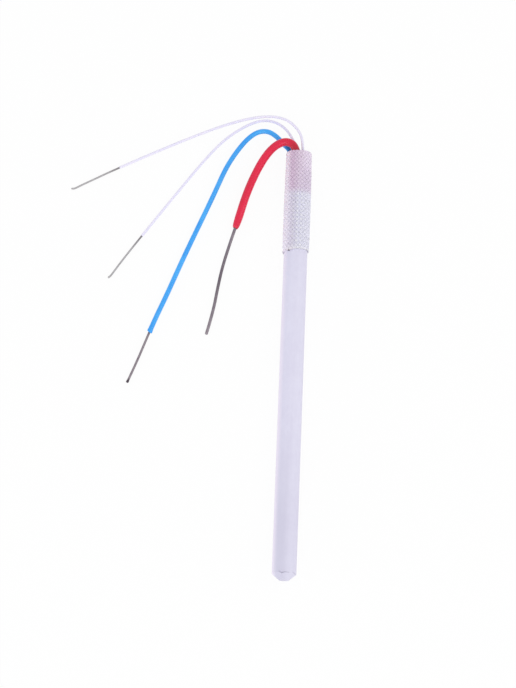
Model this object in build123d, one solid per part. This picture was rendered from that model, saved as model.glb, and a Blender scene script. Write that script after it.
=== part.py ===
"""Ceramic heating element of a soldering iron, lying on a flat surface.

An alumina core is wrapped in a thin alumina sheet, with a heater track and a sensor track printed
between the two, and the whole is fired into one rod. Four plated pads near the rod's rear end are
joined to the tracks through the sheet. A flattened lead wire is brazed to each pad. A braided
glass-fibre sleeve covers the joints, and the four leads leave its open mouth.

Millimetres. The rod lies along Y with its tip towards -Y, and +Z is up. The origin is on the
surface that the sleeve rests on, below the middle of the length from tip to mouth.
"""
from build123d import *
import math
import os

# Ceramic rod
rod_diameter = 3.8
rod_length = 63.2
sheet_thickness = 0.35
seat_relief = 0.02
seat_relief_run = 1.0
tip_chamfer_length = 0.8
tip_face_diameter = 1.8
seam_width = 0.35
seam_angle = -90.0

# Chips broken from the sheet where the tip's chamfer starts: angle round the rod, width, depth
# and skew
tip_chips = [(103.0, 0.85, 0.22, 12.0), (83.0, 0.55, 0.12, -9.0), (30.0, 0.50, 0.10, 9.0)]
chip_tool_side = 0.7

# Tracks printed between the core and the sheet
track_thickness = 0.05
heater_line_width = 0.62
sensor_line_width = 0.36
heater_zone = (1.8, 24.0)
sensor_zone = (1.8, 15.0)
turn_gap = 0.6
heater_line_angles = [105.0, 135.0, 165.0, 195.0, 225.0, 255.0]
sensor_line_angles = [-65.0, -43.0, -21.0, 0.0, 21.0, 43.0, 65.0, 78.0]

# Plated pads, each with a plug through the sheet, and the joints on them
pad_length = 3.0
pad_width = 1.5
pad_thickness = 0.05
pad_setback = 0.6
plug_diameter = 0.5
plug_inset = 0.8
tab_thickness = 0.17
tab_inset = 0.5
tab_overhang = 0.05
wire_neck = 0.75
wire_sink = 0.05
braze_height = 0.13
braze_margin = 0.16

# Braided sleeve
sleeve_length = 17.2
sleeve_past_rod = 7.4
sleeve_clearance = 0.03
sleeve_wall = 0.16
sleeve_corner_radius = 1.2
strand_height = 0.08
strands_each_way = 15
strand_pitch = 0.65
gap_size = 0.14
gap_every = 7
cut_overshoot = 0.2

# Places worked out from the sizes above
rod_radius = rod_diameter / 2
core_radius = rod_radius - sheet_thickness
track_radius = core_radius + track_thickness
seat_radius = rod_radius - seat_relief
pad_radius = seat_radius + pad_thickness
sleeve_inner_half = rod_radius + sleeve_clearance
axis_height = sleeve_inner_half + sleeve_wall + strand_height
total_length = rod_length + sleeve_past_rod
tip_y = -total_length / 2
rear_y = tip_y + rod_length
mouth_y = total_length / 2
sleeve_front_y = mouth_y - sleeve_length
pad_rear_y = rear_y - pad_setback
pad_front_y = pad_rear_y - pad_length
plug_y = pad_front_y + plug_inset

# The four leads. A lead's points are chosen by hand along its route: x from the rod's axis, y past
# the sleeve's mouth and z above the axis. Before them comes the wire's neck behind its pad. Each
# corner gets the largest arc that its shorter run allows at this share of the run. The insulation
# starts before the route's second point, covers a number of points, and ends before the next one,
# halfway along the run each time.
corner_share = 0.45
first_covered_index = 2
leads = {
    "red_lead": {
        "pad_angle": 135.0,
        "wire_diameter": 0.5,
        "insulation_diameter": 1.3,
        "insulation_bore": 0.7,
        "tab_width": 0.8,
        "covered_count": 11,
        "route": [
            (-1.15, -5.5, 1.15), (-0.85, -4.3, 0.95), (-0.65, -2.8, 0.93), (-0.46, -1.2, 0.95),
            (-0.42, 0.25, 0.96), (-1.1, 1.12, 0.99), (-2.5, 1.38, 1.0), (-4.15, 0.45, 0.85),
            (-5.7, -1.4, 0.5), (-7.15, -4.3, 0.0), (-8.45, -7.7, -0.65), (-9.45, -11.5, -1.3),
            (-10.3, -15.0, -1.68), (-11.5, -19.5, -1.72), (-12.4, -23.4, -1.8),
            (-13.15, -27.2, -1.85), (-13.8, -31.1, -1.9),
        ],
    },
    "blue_lead": {
        "pad_angle": 225.0,
        "wire_diameter": 0.38,
        "insulation_diameter": 0.8,
        "insulation_bore": 0.5,
        "tab_width": 0.7,
        "covered_count": 17,
        "route": [
            (-1.36, -5.5, -1.18), (-1.4, -4.0, -0.85), (-1.44, -2.4, -0.55), (-1.41, -0.9, -0.4),
            (-1.52, 0.5, -0.38), (-2.62, 1.5, -0.44), (-3.65, 2.75, -0.52), (-5.12, 3.75, -0.6),
            (-6.85, 3.65, -0.68), (-8.5, 2.4, -0.78), (-10.25, 0.05, -0.9), (-11.9, -2.9, -1.05),
            (-13.4, -6.9, -1.2), (-15.0, -10.9, -1.35), (-16.8, -15.3, -1.5),
            (-18.65, -20.0, -1.6), (-20.35, -24.6, -1.67), (-22.2, -29.2, -1.72),
            (-23.5, -32.9, -1.79), (-24.85, -36.7, -1.9), (-26.0, -39.6, -1.96),
        ],
    },
    "upper_white_lead": {
        "pad_angle": 45.0,
        "wire_diameter": 0.3,
        "insulation_diameter": 0.56,
        "insulation_bore": 0.4,
        "tab_width": 0.6,
        "covered_count": 14,
        "route": [
            (1.2, -5.4, 1.24), (0.97, -3.8, 1.13), (0.74, -2.1, 1.05), (0.6, -0.5, 1.0),
            (0.52, 1.05, 0.97), (0.25, 2.6, 0.92), (-0.68, 4.1, 0.84), (-2.15, 5.35, 0.74),
            (-4.1, 5.88, 0.6), (-6.4, 5.86, 0.42), (-9.3, 5.3, 0.15), (-12.9, 4.15, -0.25),
            (-17.4, 2.35, -0.75), (-22.4, 0.1, -1.3), (-27.2, -2.15, -1.8), (-31.2, -4.2, -1.92),
            (-33.6, -5.55, -1.95), (-35.2, -6.42, -1.97), (-36.1, -6.96, -1.99),
            (-36.6, -7.2, -2.0), (-36.95, -7.15, -2.0),
        ],
    },
    "lower_white_lead": {
        "pad_angle": 315.0,
        "wire_diameter": 0.3,
        "insulation_diameter": 0.56,
        "insulation_bore": 0.4,
        "tab_width": 0.6,
        "covered_count": 14,
        "route": [
            (1.06, -5.4, -1.2), (0.62, -3.9, -0.9), (0.17, -2.3, -0.64), (-0.16, -0.7, -0.48),
            (-0.42, 0.9, -0.42), (-1.1, 2.4, -0.4), (-2.05, 3.95, -0.42), (-3.5, 5.12, -0.46),
            (-5.3, 5.66, -0.52), (-7.3, 5.36, -0.62), (-9.7, 4.1, -0.78), (-12.5, 1.95, -1.0),
            (-15.6, -1.7, -1.25), (-19.4, -7.0, -1.55), (-23.5, -12.75, -1.8),
            (-26.65, -17.25, -1.92), (-28.5, -20.05, -1.96), (-29.35, -21.4, -1.98),
            (-29.75, -22.0, -2.0), (-30.07, -22.2, -2.0),
        ],
    },
}


def across(y):
    """Plane square to the rod at a place along it, with local x along X and local y up."""
    return Plane(origin=(0, y, axis_height), x_dir=(1, 0, 0), z_dir=(0, -1, 0))


def along_rod(sketch, start_y, end_y):
    """Extrude a sketch drawn square to the rod from one place along it to another."""
    return extrude(across(start_y) * sketch, amount=end_y - start_y, dir=(0, 1, 0))


def sector(inner, outer, angle, span, start_y, end_y):
    """Piece of a tube about the rod's axis, centred on an angle measured from +X towards +Z."""
    outer_arc = CenterArc((0, 0), outer, angle - span / 2, span)
    inner_arc = CenterArc((0, 0), inner, angle - span / 2, span)
    first_side = Line(outer_arc @ 0, inner_arc @ 0)
    last_side = Line(outer_arc @ 1, inner_arc @ 1)
    face = make_face([outer_arc, first_side, inner_arc, last_side])
    return along_rod(face, start_y, end_y)


def around(angle, y, radius):
    """Place at an angle round the rod, with local x along the rod and local z pointing outwards."""
    turn = math.radians(angle)
    outward = Vector(math.cos(turn), 0, math.sin(turn))
    centre = Vector(0, y, axis_height) + outward * radius
    return Plane(origin=centre, x_dir=(0, 1, 0), z_dir=outward)


def width_angle(width, radius):
    """Degrees that a width takes up at a radius."""
    return math.degrees(width / radius)


def fuse(pieces):
    """Join touching pieces into one clean solid."""
    whole = pieces[0]
    for piece in pieces[1:]:
        whole = whole + piece
    return whole


def rod_blank():
    """Full round rod with the tip's chamfer, a touch thinner where the sleeve slides onto it."""
    profile = Polyline(
        (0, tip_y),
        (tip_face_diameter / 2, tip_y),
        (rod_radius, tip_y + tip_chamfer_length),
        (rod_radius, sleeve_front_y),
        (seat_radius, sleeve_front_y + seat_relief_run),
        (seat_radius, rear_y),
        (0, rear_y),
        close=True,
    )
    return Pos(0, 0, axis_height) * revolve(make_face(profile), Axis.Y)


def make_core():
    """Round core that the printed sheet is rolled onto."""
    return rod_blank() & along_rod(Circle(core_radius), tip_y, rear_y)


def make_track(pads, line_angles, line_width, zone):
    """Printed line: back along the rod from one pad, to and fro near the tip, and to the other."""
    front_y = tip_y + zone[0]
    back_y = tip_y + zone[1]
    line_span = width_angle(line_width, core_radius)
    last = len(line_angles) - 1

    def strip(angle, span, start_y, end_y):
        return sector(core_radius, track_radius, angle, span, start_y, end_y)

    def turn(first_angle, last_angle, start_y):
        middle = (first_angle + last_angle) / 2
        span = abs(last_angle - first_angle) + line_span
        return strip(middle, span, start_y, start_y + line_width)

    pieces = []
    for index, angle in enumerate(line_angles):
        at_side = index in (0, last)
        end_y = back_y if at_side else back_y - turn_gap - line_width
        pieces.append(strip(angle, line_span, front_y, end_y))
    for index in range(last):
        turn_y = front_y if index % 2 == 0 else back_y - turn_gap - 2 * line_width
        pieces.append(turn(line_angles[index], line_angles[index + 1], turn_y))
    for pad_angle, line_angle in zip(pads, (line_angles[0], line_angles[last])):
        pieces.append(turn(pad_angle, line_angle, back_y - line_width))
        pieces.append(strip(pad_angle, line_span, back_y - line_width, plug_y + plug_diameter))
    return fuse(pieces)


def make_pad(angle):
    """Plated pad on the rod with its plug down through the sheet to the track."""
    span = width_angle(pad_width, seat_radius)
    plate = sector(seat_radius, pad_radius, angle, span, pad_front_y, pad_rear_y)
    hole = around(angle, plug_y, 0) * extrude(Circle(plug_diameter / 2), amount=pad_radius)
    plug = hole & sector(track_radius, seat_radius, angle, span, pad_front_y, pad_rear_y)
    return plate + plug


def make_sheet(buried):
    """Wrapped outer sheet with its open seam, cut away for the tracks, the plugs and the chips."""
    seam_span = width_angle(seam_width, rod_radius)
    sheet = sector(core_radius, rod_radius, seam_angle + 180, 360 - seam_span, tip_y, rear_y)
    sheet = sheet & chipped_blank()
    for piece in buried:
        sheet = sheet - piece
    return sheet


def chipped_blank():
    """Rod blank with short V-shaped chips out of the edge where the chamfer starts."""
    chips = []
    for angle, width, depth, skew in tip_chips:
        height = rod_radius - depth + chip_tool_side / math.sqrt(2)
        place = around(angle, tip_y + tip_chamfer_length, height)
        chips.append(place * Rot(skew, 0, 0) * Rot(0, 45, 0) * Box(chip_tool_side, width, chip_tool_side))
    return rod_blank() - chips


def neck_radius(lead):
    """Distance of a wire's round neck from the rod's axis."""
    return pad_radius + tab_thickness / 2 - wire_sink - lead["wire_diameter"] / 4


def route_points(lead):
    """A lead's points, from the round neck behind its pad to its free end."""
    turn = math.radians(lead["pad_angle"])
    radius = neck_radius(lead)
    neck_y = rear_y + tab_overhang + wire_neck
    points = [Vector(radius * math.cos(turn), neck_y, axis_height + radius * math.sin(turn))]
    for x, y, z in lead["route"]:
        points.append(Vector(x, mouth_y + y, axis_height + z))
    return points


def corner_radii(points):
    """As large an arc at each inner point as its two runs allow."""
    radii = []
    for before, corner, after in zip(points, points[1:], points[2:]):
        shorter = min((corner - before).length, (after - corner).length)
        turn = math.radians((corner - before).get_angle(after - corner))
        radii.append(corner_share * shorter / math.tan(turn / 2))
    return radii


def covered_path(lead):
    """The stretch of a lead's path that its insulation covers."""
    points = route_points(lead)
    radii = corner_radii(points)
    first = first_covered_index
    past = first + lead["covered_count"]
    start = (points[first - 1] + points[first]) / 2
    end = (points[past - 1] + points[past]) / 2
    return FilletPolyline(start, *points[first:past], end, radius=radii[first - 1:past - 1])


def tube_along(path, section):
    """Sweep a round section along a path of straight runs and arcs."""
    start = Plane(origin=path @ 0, z_dir=path % 0)
    return sweep(start * section, path=path)


def make_tab(lead):
    """Flattened end of a lead's wire, lying on its pad."""
    length = rear_y + tab_overhang - pad_front_y - tab_inset
    middle_y = pad_front_y + tab_inset + length / 2
    place = around(lead["pad_angle"], middle_y, pad_radius + tab_thickness / 2)
    return place * Box(length, lead["tab_width"], tab_thickness)


def make_wire(lead):
    """Lead wire: the tab on the pad, the neck behind it, and the round wire to its free end."""
    points = route_points(lead)
    path = FilletPolyline(*points, radius=corner_radii(points))
    tab = make_tab(lead)
    tab_end = around(lead["pad_angle"], rear_y + tab_overhang, pad_radius + tab_thickness / 2)
    end_plane = Plane(origin=tab_end.origin, x_dir=tab_end.z_dir, z_dir=(0, 1, 0))
    flat = end_plane * Rectangle(tab_thickness, lead["tab_width"])
    round_plane = Plane(origin=path @ 0, x_dir=end_plane.x_dir, z_dir=path % 0)
    round_end = round_plane * Circle(lead["wire_diameter"] / 2)
    neck = loft([flat, round_end])
    wire = tube_along(path, Circle(lead["wire_diameter"] / 2))
    return tab + neck + wire


def make_insulation(lead):
    """Hollow insulation over the middle of a lead."""
    path = covered_path(lead)
    outside = tube_along(path, Circle(lead["insulation_diameter"] / 2))
    bore = tube_along(path, Circle(lead["insulation_bore"] / 2))
    return outside - bore


def make_braze(lead):
    """Low fillet of braze round the tab on its pad."""
    width = lead["tab_width"] + 2 * braze_margin
    start_y = pad_front_y + tab_inset - braze_margin
    end_y = pad_rear_y - braze_margin
    length = end_y - start_y
    place = around(lead["pad_angle"], (start_y + end_y) / 2, 0)
    top = pad_radius + braze_height
    block = place * Pos(0, 0, top / 2) * Box(length, width, top)
    block = block & along_rod(Circle(top), start_y, end_y)
    block = block - along_rod(Circle(pad_radius), start_y, end_y)
    return block - make_tab(lead)


def section_point(half, corner, fraction):
    """Point and outward direction at a fraction of the way round a rounded square."""
    straight = half - corner
    quarter = 2 * straight + corner * math.pi / 2
    way = fraction * 4 * quarter + straight
    side = int(way // quarter)
    rest = way - side * quarter
    if rest < 2 * straight:
        point = Vector(half, rest - straight)
        outward = Vector(1, 0)
    else:
        turn = (rest - 2 * straight) / corner
        outward = Vector(math.cos(turn), math.sin(turn))
        point = Vector(straight, straight) + outward * corner
    return point.rotate(Axis.Z, 90 * side), outward.rotate(Axis.Z, 90 * side)


def braid_point(column, row, columns, rows):
    """Corner of the braid's outside: high where two strands cross, low in the gap between."""
    half = sleeve_inner_half + sleeve_wall
    corner = sleeve_corner_radius + sleeve_wall
    point, outward = section_point(half, corner, (column % columns) / columns)
    if (column + row) % 2 == 0:
        point = point + outward * strand_height
    y = sleeve_front_y + sleeve_length * row / rows
    return Vector(point.X, y, axis_height + point.Y)


def make_sleeve():
    """Braided tube: strands cross as ridges both ways round one wall, with small gaps between."""
    columns = 2 * strands_each_way
    rows = round(2 * sleeve_length / strand_pitch)

    def corner(column, row):
        return braid_point(column, row, columns, rows)

    faces = []
    for row in range(rows):
        for column in range(columns):
            low = [corner(column, row), corner(column + 1, row)]
            high = [corner(column, row + 1), corner(column + 1, row + 1)]
            if (column + row) % 2 == 0:
                halves = ([low[0], low[1], high[1]], [low[0], high[1], high[0]])
            else:
                halves = ([low[0], low[1], high[0]], [low[1], high[1], high[0]])
            faces.extend(Face(Wire.make_polygon(half)) for half in halves)
    for row in (0, rows):
        ring = [corner(column, row) for column in range(columns)]
        faces.append(Face(Wire.make_polygon(ring)))
    outside = Solid(Shell(faces))

    bore = RectangleRounded(2 * sleeve_inner_half, 2 * sleeve_inner_half, sleeve_corner_radius)
    sleeve = outside - along_rod(bore, sleeve_front_y - cut_overshoot, mouth_y + cut_overshoot)
    gaps = []
    for row in range(2, rows - 1):
        for column in range(columns):
            if (column + row) % 2 == 1 and (column + 2 * row) % gap_every == 0:
                gaps.append(braid_gap(column, row, columns, rows))
    print("braid gaps:", len(gaps))
    return sleeve - gaps


def braid_gap(column, row, columns, rows):
    """Small square hole through the wall between four crossings."""
    half = sleeve_inner_half + sleeve_wall
    corner = sleeve_corner_radius + sleeve_wall
    _, outward = section_point(half, corner, column / columns)
    centre = braid_point(column, row, columns, rows)
    place = Plane(origin=centre, x_dir=(0, 1, 0), z_dir=(outward.X, 0, outward.Y))
    depth = 2 * (sleeve_wall + cut_overshoot)
    return place * Rot(0, 0, 45) * Box(gap_size, gap_size, depth)


def save(name, shape):
    """Write one node."""
    export_step(shape, f"parts/{name}.step")
    print(f"{name}: {shape.volume:.3f} mm3, {len(shape.solids())} solid")


os.makedirs("parts", exist_ok=True)

heater_pads = (leads["red_lead"]["pad_angle"], leads["blue_lead"]["pad_angle"])
sensor_pads = (leads["lower_white_lead"]["pad_angle"] - 360, leads["upper_white_lead"]["pad_angle"])
heater_track = make_track(heater_pads, heater_line_angles, heater_line_width, heater_zone)
sensor_track = make_track(sensor_pads, sensor_line_angles, sensor_line_width, sensor_zone)
pads = {name: make_pad(lead["pad_angle"]) for name, lead in leads.items()}

save("ceramic_core", make_core())
save("ceramic_sheet", make_sheet([heater_track, sensor_track, *pads.values()]))
save("heater_track", heater_track)
save("sensor_track", sensor_track)
for name, lead in leads.items():
    save(f"{name}_pad", pads[name])
    save(f"{name}_braze", make_braze(lead))
    save(f"{name}_wire", make_wire(lead))
    save(f"{name}_insulation", make_insulation(lead))
save("braided_sleeve", make_sleeve())

for name, lead in leads.items():
    points = route_points(lead)
    radii = corner_radii(points)
    path = FilletPolyline(*points, radius=radii)
    cover = covered_path(lead)
    section = math.pi * (lead["insulation_diameter"] ** 2 - lead["insulation_bore"] ** 2) / 4
    print(f"{name}: wire {path.length:.1f} mm, insulation {cover.length:.1f} mm,",
          f"section times length {section * cover.length:.3f} mm3")
    print("  radii", " ".join(f"{radius:.1f}" for radius in radii))
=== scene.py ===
# %% [markdown]
# # A ceramic heating element
#
# The part is the heater of a small soldering iron: a white ceramic rod with a chamfered tip, a
# sleeve braided from glass fibre over the rod's rear end, and four leads that come out of the
# sleeve. It lies on a white table. The CAD model gives every size and place. This notebook gives
# the pieces their finished shapes and their materials.

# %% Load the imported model
import math

import bmesh
import bpy
import numpy as np
from mathutils import Matrix, Vector


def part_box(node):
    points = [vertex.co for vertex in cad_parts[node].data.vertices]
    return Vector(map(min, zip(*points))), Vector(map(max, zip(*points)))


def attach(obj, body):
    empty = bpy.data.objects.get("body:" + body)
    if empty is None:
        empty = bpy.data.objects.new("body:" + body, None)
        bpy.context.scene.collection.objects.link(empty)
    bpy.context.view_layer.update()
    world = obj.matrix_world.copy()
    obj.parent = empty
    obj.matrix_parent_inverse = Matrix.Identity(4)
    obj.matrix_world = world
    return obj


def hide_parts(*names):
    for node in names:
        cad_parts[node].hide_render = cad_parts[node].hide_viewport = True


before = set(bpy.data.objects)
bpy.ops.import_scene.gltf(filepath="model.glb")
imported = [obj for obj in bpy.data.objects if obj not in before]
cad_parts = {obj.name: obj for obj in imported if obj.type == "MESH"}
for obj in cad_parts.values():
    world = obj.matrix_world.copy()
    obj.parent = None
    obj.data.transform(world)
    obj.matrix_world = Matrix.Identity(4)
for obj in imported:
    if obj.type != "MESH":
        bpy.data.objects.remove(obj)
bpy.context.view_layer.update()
mm = 0.001
print("CAD nodes:", len(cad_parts))

# %% [markdown]
# ## The camera
#
# The picture was taken from above with a long lens, a little towards the tip's end. A camera
# could be turned by eye until it looks right. Here its tilt, roll and distance were solved from
# the rod's width at both ends, and the three directions of its frame follow from them.

# %% Place the camera


def add_object(name, data):
    """Make an object of some data and link it to the scene."""
    thing = bpy.data.objects.new(name, data)
    bpy.context.scene.collection.objects.link(thing)
    return thing


lens_length = 108
tilt = math.radians(16.5)
roll = math.radians(2.343)
camera_distance = 328 * mm
camera_target = Vector((-5.45, 2.39, 2.17)) * mm

level_right = Vector((1, 0, 0))
level_up = Vector((0, math.cos(tilt), math.sin(tilt)))
towards_camera = Vector((0, -math.sin(tilt), math.cos(tilt)))
camera_right = level_right * math.cos(roll) + level_up * math.sin(roll)
camera_up = level_up * math.cos(roll) - level_right * math.sin(roll)

camera_data = bpy.data.cameras.new("camera")
camera_data.lens = lens_length
camera_data.clip_start = 0.01
camera = add_object("camera", camera_data)
turned = Matrix((camera_right, camera_up, towards_camera)).transposed().to_4x4()
camera_place = camera_target + towards_camera * camera_distance
camera.matrix_world = Matrix.Translation(camera_place) @ turned
bpy.context.scene.camera = camera
print("camera at", [round(value, 3) for value in camera_place])

# %% [markdown]
# ## Places along the part
#
# The rod lies along Y with its tip towards -Y. The places that several pieces share are read from
# the CAD nodes' boxes once.

# %% Read the main places
tip_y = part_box("ceramic_core")[0].y
rear_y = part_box("ceramic_core")[1].y
sleeve_front_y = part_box("braided_sleeve")[0].y
mouth_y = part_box("braided_sleeve")[1].y
axis_height = sum(corner.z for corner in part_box("ceramic_core")) / 2
axis_point = Vector((0, 0, axis_height))
rod_radius = 1.9 * mm
core_radius = 1.55 * mm
seat_relief = 0.02 * mm
pad_thickness = 0.05 * mm
pad_radius = rod_radius - seat_relief + pad_thickness
tab_front_y = rear_y - 3.1 * mm
tab_rear_y = rear_y + 0.05 * mm
neck_y = rear_y + 0.8 * mm
print("rod:", round((rear_y - tip_y) / mm, 2), "mm")
print("sleeve:", round((mouth_y - sleeve_front_y) / mm, 2), "mm")

# %% [markdown]
# ## The leads' routes
#
# Each lead is one nickel wire that starts as a flat tab on the rod and ends bare, with insulation
# over its middle. A cord's shape is best kept as a few chosen points for one smooth NURBS line,
# which bends evenly and never kinks. The points are the CAD route's, a few of the red lead's
# moved a little to follow the picture: x from the rod's axis, y past the sleeve's mouth and z
# above the axis.

# %% Write down the four routes
# In mm and degrees. The insulation ends after "covered" points, less what "short" takes off.
thin_tube = {"wire": 0.3, "cover": 0.43, "bore": 0.34, "tab": 0.6, "covered": 14,
             "slot": "clear_insulation"}
leads = {
    "red_lead": {
        "pad_angle": 135, "wire": 0.5, "cover": 1.3, "bore": 0.7, "tab": 0.8, "covered": 11,
        "short": 0.24, "slot": "red_insulation",
        "route": [
            (-1.15, -5.5, 1.15), (-0.85, -4.3, 0.95), (-0.5, -2.8, 0.93), (-0.25, -1.1, 0.95),
            (-0.66, 0.35, 0.97), (-1.25, 1.15, 0.99), (-2.5, 1.45, 1.0), (-4.15, 0.55, 0.85),
            (-5.7, -1.4, 0.5), (-7.15, -4.3, 0.0), (-8.45, -7.7, -0.65), (-9.45, -11.5, -1.3),
            (-10.5, -15.0, -1.68), (-11.68, -19.5, -1.72), (-12.34, -23.4, -1.8),
            (-12.85, -27.2, -1.85), (-13.8, -31.1, -1.9),
        ],
    },
    "blue_lead": {
        "pad_angle": 225, "wire": 0.38, "cover": 0.8, "bore": 0.5, "tab": 0.7, "covered": 17,
        "slot": "blue_insulation",
        "route": [
            (-1.36, -5.5, -1.18), (-1.4, -4.0, -0.85), (-1.44, -2.4, -0.55), (-1.41, -0.9, -0.4),
            (-1.52, 0.5, -0.38), (-2.62, 1.5, -0.44), (-3.65, 2.75, -0.52), (-5.12, 3.75, -0.6),
            (-6.85, 3.65, -0.68), (-8.5, 2.4, -0.78), (-10.25, 0.05, -0.9), (-11.9, -2.9, -1.05),
            (-13.4, -6.9, -1.2), (-15.0, -10.9, -1.35), (-16.8, -15.3, -1.5),
            (-18.65, -20.0, -1.6), (-20.35, -24.6, -1.67), (-22.2, -29.2, -1.72),
            (-23.5, -32.9, -1.79), (-24.85, -36.7, -1.9), (-26.0, -39.6, -1.96),
        ],
    },
    "upper_white_lead": {
        "pad_angle": 45, **thin_tube,
        "route": [
            (1.2, -5.4, 1.24), (0.97, -3.8, 1.13), (0.74, -2.1, 1.05), (0.6, -0.5, 1.0),
            (0.52, 1.05, 0.97), (0.25, 2.6, 0.92), (-0.68, 4.1, 0.84), (-2.15, 5.35, 0.74),
            (-4.1, 5.88, 0.6), (-6.4, 5.86, 0.42), (-9.3, 5.3, 0.15), (-12.9, 4.15, -0.25),
            (-17.4, 2.35, -0.75), (-22.4, 0.1, -1.3), (-27.2, -2.15, -1.8), (-31.2, -4.2, -1.92),
            (-33.6, -5.55, -1.95), (-35.2, -6.42, -1.97), (-36.1, -6.96, -1.99),
            (-36.6, -7.2, -2.0), (-36.95, -7.15, -2.0),
        ],
    },
    "lower_white_lead": {
        "pad_angle": 315, **thin_tube,
        "route": [
            (1.06, -5.4, -1.2), (0.62, -3.9, -0.9), (0.17, -2.3, -0.64), (-0.16, -0.7, -0.48),
            (-0.42, 0.9, -0.42), (-1.1, 2.4, -0.4), (-2.05, 3.95, -0.42), (-3.5, 5.12, -0.46),
            (-5.3, 5.66, -0.52), (-7.3, 5.36, -0.62), (-9.7, 4.1, -0.78), (-12.5, 1.95, -1.0),
            (-15.6, -1.7, -1.25), (-19.4, -7.0, -1.55), (-23.5, -12.75, -1.8),
            (-26.65, -17.25, -1.92), (-28.5, -20.05, -1.96), (-29.35, -21.4, -1.98),
            (-29.75, -22.0, -2.0), (-30.07, -22.2, -2.0),
        ],
    },
}
tab_thickness = 0.17
wire_sink = 0.05


def radial(angle):
    """Direction away from the rod's axis at an angle in degrees, from +X towards +Z."""
    turn = math.radians(angle)
    return Vector((math.cos(turn), 0, math.sin(turn)))


def route_points(lead):
    """A lead's points in metres, from the wire's neck behind its pad to its free end."""
    neck_radius = pad_radius + (tab_thickness / 2 - wire_sink - lead["wire"] / 4) * mm
    points = [axis_point + radial(lead["pad_angle"]) * neck_radius + Vector((0, neck_y, 0))]
    for x, y, z in lead["route"]:
        points.append(Vector((x, y, z)) * mm + Vector((0, mouth_y, axis_height)))
    return points


# %% [markdown]
# ## From a route to a centreline
#
# Blender's own NURBS spline turns the points into a smooth line. Reading the line back as a mesh
# gives points that are close together, and a tube of any section can then be laid along them. At
# each point the tube needs two directions square to the line. They are carried along from the
# first point and corrected a little at each step, so the tube's surface never twists.

# %% Draw the lines


def read_spline(name, points):
    """Points close together along a NURBS line with the given control points."""
    data = bpy.data.curves.new(name, "CURVE")
    data.dimensions = "3D"
    data.resolution_u = 14
    spline = data.splines.new("NURBS")
    spline.points.add(len(points) - 1)
    for place, point in zip(spline.points, points):
        place.co = (*point, 1)
    spline.order_u = 3
    spline.use_endpoint_u = True
    holder = add_object(name, data)
    bpy.context.view_layer.update()
    mesh = bpy.data.meshes.new_from_object(holder)
    line = [vertex.co.copy() for vertex in mesh.vertices]
    bpy.data.meshes.remove(mesh)
    bpy.data.objects.remove(holder)
    bpy.data.curves.remove(data)
    return line


class Centreline:
    """A line with the distance along it and two directions square to it at every point."""

    def __init__(self, points, first_side):
        self.points = np.array(points, float)
        steps = np.linalg.norm(np.diff(self.points, axis=0), axis=1)
        self.distance = np.concatenate([[0], np.cumsum(steps)])
        self.length = float(self.distance[-1])
        ahead = np.gradient(self.points, self.distance, axis=0)
        self.ahead = ahead / np.linalg.norm(ahead, axis=1)[:, None]
        side = np.array(first_side, float)
        sides = []
        for direction in self.ahead:
            side = side - direction * (side @ direction)
            side = side / np.linalg.norm(side)
            sides.append(side)
        self.side = np.array(sides)
        self.up = np.cross(self.ahead, self.side)

    def read(self, rows, distance):
        """Values at the line's points, read at other distances along it."""
        parts = [np.interp(distance, self.distance, rows[:, i]) for i in range(3)]
        return np.stack(parts, axis=-1)

    def nearest(self, point):
        """Distance along the line of the place nearest to a point."""
        gaps = np.linalg.norm(self.points - np.array(point), axis=1)
        return float(self.distance[int(gaps.argmin())])


for name, lead in leads.items():
    outward = radial(lead["pad_angle"])
    across_pad = Vector((0, 1, 0)).cross(outward) * -1
    tab_centre = axis_point + outward * (pad_radius + tab_thickness / 2 * mm)
    points = route_points(lead)
    line = read_spline(name, points)
    tab_rows = [tab_centre + Vector((0, y, 0)) for y in (tab_front_y, tab_rear_y)]
    lead["line"] = Centreline([*tab_rows, *line], across_pad)
    lead["tab_end"] = float(lead["line"].distance[1])
    lead["neck_end"] = float(lead["line"].distance[2])
    lead["cover_start"] = lead["line"].nearest((points[1] + points[2]) / 2)
    last = 1 + lead["covered"]
    lead["cover_end"] = lead["line"].nearest((points[last] + points[last + 1]) / 2)
    lead["cover_end"] -= lead.get("short", 0) * mm
    print(name, "wire", round(lead["line"].length / mm, 1), "mm, insulation",
          round((lead["cover_end"] - lead["cover_start"]) / mm, 1), "mm")

# %% [markdown]
# ## A skin along a line
#
# A wire that begins flat and ends round is a row of rings whose width, height and squareness
# change along the way. The same rings make a hollow tube when they run forwards on the outside
# and come back through the bore. Each point also keeps its place on the straightened cord, as an
# attribute called lay, so the material's grain can follow the cord round its bends.

# %% Skin a line with rings


def new_piece(name, corners, faces, lay):
    """Make a mesh object of corners and faces, with its faces pointing outwards."""
    mesh = bpy.data.meshes.new(name)
    mesh.from_pydata([tuple(corner) for corner in corners], [], faces)
    attribute = mesh.attributes.new("lay", "FLOAT_VECTOR", "POINT")
    attribute.data.foreach_set("vector", np.array(lay, np.float32).ravel())
    shape = bmesh.new()
    shape.from_mesh(mesh)
    if shape.calc_volume(signed=True) < 0:
        bmesh.ops.reverse_faces(shape, faces=shape.faces)
    shape.to_mesh(mesh)
    shape.free()
    mesh.shade_smooth()
    return add_object(name, mesh)


def round_ring(distance, radius, lean=0):
    """A round ring for skin to use."""
    return distance, radius, radius, 2, lean


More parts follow.
